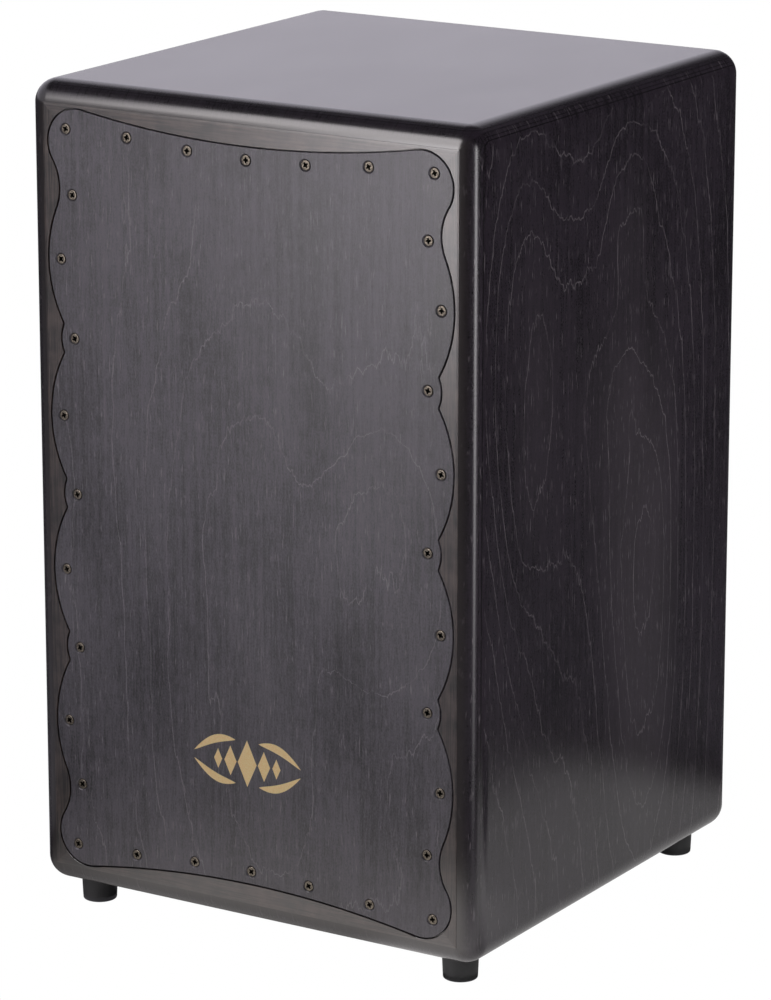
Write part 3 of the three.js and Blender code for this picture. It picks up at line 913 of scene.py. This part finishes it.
for side in ("top", "bottom", "left", "right"):
    softened_copy(f"back_{side}_batten", f"back_{side}_batten_eased", 0.6 * MM, raw_birch, "raw_birch")
softened_copy("string_block", "string_block_eased", 0.3 * MM, raw_birch, "raw_birch")
softened_copy("tension_bar", "tension_bar_eased", 0.3 * MM, alloy, "tension_alloy", "tension_bar")


# ---------------------------------------------------------------- feet and their screws

def foot_profile(height):
    points = [(5.0, 0.0), (9.1, 0.0)]
    lower_edge = [k * math.pi / 12 for k in range(1, 7)]
    points += [(9.1 + 0.95 * math.sin(a), 0.95 * (1 - math.cos(a))) for a in lower_edge]
    points += [(10.2, 4.0), (10.6, height - 2.2), (10.66, height - 1.2), (10.4, height - 0.9)]
    points += [(10.75, height - 0.6), (10.72, height), (2.6, height), (2.6, 8.0), (4.7, 8.0), (5.0, 7.7)]
    return in_metres(points)


for corner in ("front_left", "front_right", "back_left", "back_right"):
    low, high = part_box(f"foot_{corner}")
    centre = middle_of((low, high))
    height = (BOTTOM - low.z) / MM
    foot = turned(f"foot_{corner}_moulded", foot_profile(height), 72)
    foot.location = (centre.x, centre.y, low.z)
    finish_piece(foot, "case", rubber, "foot_rubber", f"foot_{corner}")
    head_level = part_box(f"foot_screw_{corner}")[0].z
    head = [(0, 0.3), (2.4, 0.0), (3.3, 0.35), (3.75, 1.2), (3.8, 2.6)]
    profile = head + [(2.0, 2.6), (2.0, 17.0), (0, 19.8)]
    pan = turned(f"foot_screw_{corner}_pan", in_metres(profile), 40)
    for turn in (0.4, 0.4 + math.pi / 2):
        cube = bmesh.new()
        bmesh.ops.create_cube(cube, size=1.0)
        bmesh.ops.scale(cube, vec=(4.2 * MM, 0.9 * MM, 3.0 * MM), verts=cube.verts)
        mesh = bpy.data.meshes.new("slot")
        cube.to_mesh(mesh)
        cube.free()
        slot_tool = new_object("slot", mesh)
        slot_tool.rotation_euler = (0, 0, turn)
        cut(pan, slot_tool)
    shade(pan, 30)
    pan.location = (centre.x, centre.y, head_level)
    finish_piece(pan, "case", zinc, "plated_steel", f"foot_screw_{corner}")


# ---------------------------------------------------------------- tension screws

def tension_screw(side):
    low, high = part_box(f"tension_screw_{side}")
    length = (high.z - low.z) / MM
    smooth, pitch = 30.0, 0.8
    head = [(0, 0.0), (3.75, 0.0), (4.1, 0.15), (4.25, 0.5), (4.25, 4.6), (4.0, 4.9)]
    profile = head + [(2.4, 4.9), (2.4, smooth)]
    for k in range(int((length - 1 - smooth) / pitch)):
        base = smooth + pitch * k
        profile += [(2.4, base + 0.15), (2.05, base + 0.5), (2.4, base + pitch)]
    profile += [(1.6, length), (0, length)]
    screw = turned(f"tension_screw_{side}_threaded", in_metres(profile), 36)
    key = turned("key", in_metres([(0, -1), (2.3, -1), (2.3, 2.8), (0, 3.4)]), 6)
    cut(screw, key)
    shade(screw, 30)
    screw.location = (middle_of((low, high)).x, middle_of((low, high)).y, low.z)
    finish_piece(screw, f"tension_screw_{side}", zinc, "plated_steel", f"tension_screw_{side}")


for side in ("left", "right"):
    tension_screw(side)


# ---------------------------------------------------------------- strings

def string_loop(side):
    """One string doubled over the block: up one kerf, across, and down the other. Each end has a ferrule."""
    low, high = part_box(f"strings_{side}")
    y = middle_of((low, high)).y
    radius, ferrule = 0.45 * MM, 1.2 * MM
    left, right = low.x + ferrule, high.x - ferrule
    top, bottom = high.z - radius, low.z + 4 * MM
    bend = 1.0 * MM
    stations = 24
    path = [(left, bottom + (top - bend - bottom) * k / stations) for k in range(stations + 1)]
    for a in (k * math.pi / 12 for k in range(1, 7)):
        path.append((left + bend * (1 - math.cos(a)), top - bend + bend * math.sin(a)))
    path += [(left + right - x, z) for x, z in reversed(path)]
    sides, verts, faces = 12, [], []
    for k, (x, z) in enumerate(path):
        before, after = path[max(k - 1, 0)], path[min(k + 1, len(path) - 1)]
        tx, tz = after[0] - before[0], after[1] - before[1]
        size = math.hypot(tx, tz)
        nx, nz = -tz / size, tx / size
        for s in range(sides):
            angle = 2 * math.pi * s / sides
            out = radius * math.cos(angle)
            verts.append((x + nx * out, y + radius * math.sin(angle), z + nz * out))
    for k in range(len(path) - 1):
        for s in range(sides):
            n = (s + 1) % sides
            faces.append((k * sides + s, k * sides + n, (k + 1) * sides + n, (k + 1) * sides + s))
    faces.append(list(range(sides)))
    faces.append([(len(path) - 1) * sides + s for s in range(sides)])
    loop = mesh_object(f"strings_{side}_wound", verts, faces, 50)
    collars = []
    for x in (left, right):
        profile = [(0, 0), (1.0, 0), (1.2, 0.2), (1.2, 3.8), (1.0, 4.0), (0, 4.0)]
        collar = turned("collar", in_metres(profile), 20)
        collar.location = (x, y, low.z)
        collars.append(collar)
    bpy.ops.object.select_all(action="DESELECT")
    for obj in [loop, *collars]:
        obj.select_set(True)
    bpy.context.view_layer.objects.active = loop
    bpy.ops.object.join()
    loop.data.materials.clear()
    loop.data.materials.append(wound)
    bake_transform(loop)
    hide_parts(f"strings_{side}")


for side in ("left", "right"):
    string_loop(side)


# ---------------------------------------------------------------- ornament

def ornament():
    """A plain printed ornament: a row of lozenges between two pairs of leaves that curl outwards."""
    centre_x, centre_z = -2.0, (BOTTOM - MIDDLE) / MM + 97
    y = FRONT - 0.02 * MM
    shapes = []
    for x, w, h in ((0, 6.5, 14), (-11.5, 4.2, 9), (11.5, 4.2, 9), (-20, 2.8, 6), (20, 2.8, 6)):
        shapes.append([(x - w, 0), (x, -h), (x + w, 0), (x, h)])
    for turn in (-1, 1):
        for lift in (-1, 1):
            upper, lower = [], []
            for k in range(17):
                t = k / 16
                x = 8 + 28.5 * t
                z = lift * (13 - 10.5 * t + 3.5 * math.sin(math.pi * t))
                half = 2.5 * math.sin(math.pi * t) ** 0.8 + 0.05
                upper.append((turn * x, z + half))
                lower.append((turn * x, z - half))
            shapes.append(upper + lower[::-1])
    verts, faces = [], []
    for shape in shapes:
        base = len(verts)
        count = len(shape)
        for depth in (0, 0.05 * MM):
            verts += [((centre_x + a) * MM, y + depth, MIDDLE + (centre_z + b) * MM) for a, b in shape]
        faces.append([base + k for k in range(count)])
        faces.append([base + count + k for k in range(count)])
        for k in range(count):
            n = (k + 1) % count
            faces.append([base + k, base + n, base + count + n, base + count + k])
    return mesh_object("tapa_ornament", verts, faces)


finish_piece(ornament(), "case", gold, "tapa_veneer")


# ---------------------------------------------------------------- floor, light and camera

def quad(name, corners, material):
    obj = new_object(name, bpy.data.meshes.new(name))
    obj.data.from_pydata(corners, [], [(0, 1, 2, 3)])
    obj.data.materials.append(material)
    return obj


def make_floor():
    """A pale floor that throws light back up. The camera sees the white room in its place."""
    material, *_ = new_material("floor_pale", Base_Color=(0.8, 0.8, 0.8, 1), Roughness=1.0)
    half, level = 9.0, -0.05 * MM
    corners = [(-half, -half, level), (half, -half, level), (half, half, level), (-half, half, level)]
    floor = quad("floor", corners, material)
    floor.visible_camera = False
    floor.visible_glossy = False


WALL_LIGHT = 0.875


def make_world():
    """A dim room whose pale walls are low down behind the object and to its left.
    The pale floor shows in steep reflections, and in shallow ones only towards the front left."""
    world = bpy.data.worlds.new("studio")
    world.use_nodes = True
    bpy.context.scene.world = world
    world.node_tree.nodes.clear()
    nodes = Nodes(world.node_tree)
    split = nodes.add("ShaderNodeSeparateXYZ")
    nodes.put(split.inputs[0], nodes.add("ShaderNodeTexCoord").outputs["Generated"])
    x, y, up = split.outputs
    flat = nodes.length(x, y)

    def towards(degrees):
        """1 straight towards that heading, 0 at right angles. 0 is -Y and 90 is +X."""
        turn = math.radians(degrees)
        along = nodes.plus(nodes.times(x, math.sin(turn)), nodes.times(y, -math.cos(turn)))
        return nodes.over(along, flat)

    wall = nodes.times(nodes.band(up, -0.03, 0.05), nodes.band(up, 0.60, 0.74, 1.0, 0.0))
    wall = nodes.times(wall, nodes.band(towards(-100), 0.22, 0.66))
    near_floor = nodes.band(up, -0.30, -0.55)
    front_floor = nodes.times(nodes.band(up, -0.14, -0.40), nodes.band(towards(-50), 0.70, 0.95))
    strength = nodes.times(wall, WALL_LIGHT)
    strength = nodes.math("MAXIMUM", strength, nodes.times(near_floor, 1.5))
    strength = nodes.math("MAXIMUM", strength, nodes.times(front_floor, 0.45))
    strength = nodes.plus(strength, 0.05)
    seen = nodes.add("ShaderNodeLightPath").outputs["Is Camera Ray"]
    tint = nodes.mix(seen, (0.95, 0.91, 1.02), (1, 1, 1))
    strength = nodes.math("MAXIMUM", strength, seen)
    background = nodes.add("ShaderNodeBackground")
    nodes.put(background.inputs["Color"], tint)
    nodes.put(background.inputs["Strength"], strength)
    nodes.put(nodes.add("ShaderNodeOutputWorld").inputs[0], background.outputs[0])


def panel_light(name, place, aim, size, radiance):
    """A rectangular light that only plain surfaces feel: neither the camera nor a reflection sees it."""
    data = bpy.data.lights.new(name, "AREA")
    data.shape = "RECTANGLE"
    data.size, data.size_y = size
    data.energy = radiance * math.pi * size[0] * size[1]
    light = new_object(name, data)
    light.location = place
    light.rotation_euler = (Vector(aim) - Vector(place)).to_track_quat("-Z", "Y").to_euler()
    light.visible_camera = False
    light.visible_diffuse = True
    light.visible_glossy = False


def glow_material(name, colour):
    """An emission shader that the caller wires to an output."""
    material = bpy.data.materials.new(name)
    material.use_nodes = True
    material.node_tree.nodes.clear()
    nodes = Nodes(material.node_tree)
    lamp = nodes.add("ShaderNodeEmission")
    lamp.inputs["Color"].default_value = (*colour, 1)
    return material, nodes, lamp


def only_in_reflections(obj):
    for ray in ("camera", "diffuse", "transmission", "shadow"):
        setattr(obj, "visible_" + ray, False)


def soft_card(name, place, aim, size, radiance, soft, colour=(1, 1, 1), clear=True):
    """A glowing card that only reflections see. It fades towards its edges, over the share of its half size
    that soft gives for each direction. A clear card adds its glow to what is behind it."""
    material, nodes, lamp = glow_material(name, colour)
    split = nodes.add("ShaderNodeSeparateXYZ")
    nodes.put(split.inputs[0], nodes.add("ShaderNodeTexCoord").outputs["Object"])
    glow = radiance
    for axis in (0, 1):
        out = nodes.over(nodes.math("ABSOLUTE", split.outputs[axis]), size[axis] / 2)
        glow = nodes.times(nodes.band(out, 1 - soft[axis], 1.0, 1.0, 0.0), glow)
    nodes.put(lamp.inputs["Strength"], glow)
    layered = nodes.add("ShaderNodeAddShader")
    nodes.put(layered.inputs[0], lamp.outputs[0])
    if clear:
        nodes.put(layered.inputs[1], nodes.add("ShaderNodeBsdfTransparent").outputs[0])
    nodes.put(nodes.add("ShaderNodeOutputMaterial").inputs[0], layered.outputs[0])
    w, h = size[0] / 2, size[1] / 2
    card = quad(name, [(-w, -h, 0), (w, -h, 0), (w, h, 0), (-w, h, 0)], material)
    card.location = place
    card.rotation_euler = (Vector(aim) - Vector(place)).to_track_quat("-Z", "Y").to_euler()
    only_in_reflections(card)


def reflection_flag():
    """A grey card over the front edge that glows faintly and shows only in reflections: a painted reflection
    of a grey board. It keeps the softboxes out of the polished top's reflections when the box is seen from
    behind. From its other side it isn't there."""
    material, nodes, grey = glow_material("flag", (0.95, 0.91, 1.0))
    # painted reflection: the board glows at half strength instead of being lit
    grey.inputs["Strength"].default_value = 0.5
    sides = nodes.add("ShaderNodeMixShader")
    nodes.put(sides.inputs[0], nodes.add("ShaderNodeNewGeometry").outputs["Backfacing"])
    nodes.put(sides.inputs[1], grey.outputs[0])
    nodes.put(sides.inputs[2], nodes.add("ShaderNodeBsdfTransparent").outputs[0])
    nodes.put(nodes.add("ShaderNodeOutputMaterial").inputs[0], sides.outputs[0])
    y, half, low, high = FRONT + EDGE_RADIUS, 0.8, TOP + 8 * MM, TOP + 0.32
    corners = [(half, y, low), (-half, y, low), (-half, y, high), (half, y, high)]
    flag = quad("flag", corners, material)
    only_in_reflections(flag)


def make_camera():
    data = bpy.data.cameras.new("camera")
    data.sensor_width = 36
    data.lens = 169.7
    camera = new_object("camera", data)
    turn, dip = -0.5576, -0.2641
    camera.location = (1.42305, -2.13548 + FRONT, 0.94734 + BOTTOM)
    ahead = Vector((math.cos(dip) * math.sin(turn), math.cos(dip) * math.cos(turn), math.sin(dip)))
    camera.rotation_euler = ahead.to_track_quat("-Z", "Y").to_euler()
    bpy.context.scene.camera = camera


bpy.context.scene.view_settings.view_transform = "Standard"
make_camera()
make_floor()
make_world()
reflection_flag()
# (name, place, aim, size, radiance, soft edges, colour)
CARDS = [
    ("softbox", (-0.365, -1.16, 0.46), (0, 0, 0.46),
     (0.51, 0.86), 12.5, (0.6, 0.4), (1, 0.965, 0.985)),
    ("upper_softbox", (-0.48, -1.08, 1.12), (0, 0, 0.5),
     (0.84, 0.90), 8, (0.4, 0.5), (1, 0.955, 0.96)),
    ("edge_strip", (0.905, -0.56, 0.40), (0.147, -0.15, 0.40),
     (0.20, 1.36), 9.5, (0.7, 0.8), (1, 0.98, 1)),
    ("right_floor_glow", (0.20, -0.03, 0.004), (0.20, -0.03, 1),
     (0.29, 0.62), 0.5, (0.3, 0.25), (1, 0.98, 0.98)),
    ("corner_floor_glow", (0.37, -0.11, 0.005), (0.37, -0.11, 1),
     (0.42, 0.24), 1.1, (0.7, 0.7), (1, 0.98, 0.98)),
    ("front_floor_glow", (0.02, -0.24, 0.006), (0.02, -0.24, 1),
     (0.56, 0.24), 1.9, (0.7, 0.6), (1, 0.96, 0.94)),
]
for name, place, aim, size, *glow in CARDS:
    soft_card(name, place, aim, size, *glow)
    if name.endswith("floor_glow"):
        # a black card under it, seen only in reflections, is painted shade on the floor
        under = (place[0], place[1], place[2] - 3 * MM)
        soft_card(name.replace("glow", "shade"), under, aim, size, 0, (1, 1), clear=False)

panel_light("front_fill", (0.35, -1.0, 1.0), (0.1, -0.15, 0.35), (0.6, 0.6), 2.1)
panel_light("side_fill", (1.3, 0.1, 0.9), (0.15, 0, 0.3), (0.8, 0.8), 3.8)
panel_light("rear_fill", (-1.2, 1.5, 1.2), (0, 0, 0.25), (1.2, 1.2), 2.5)
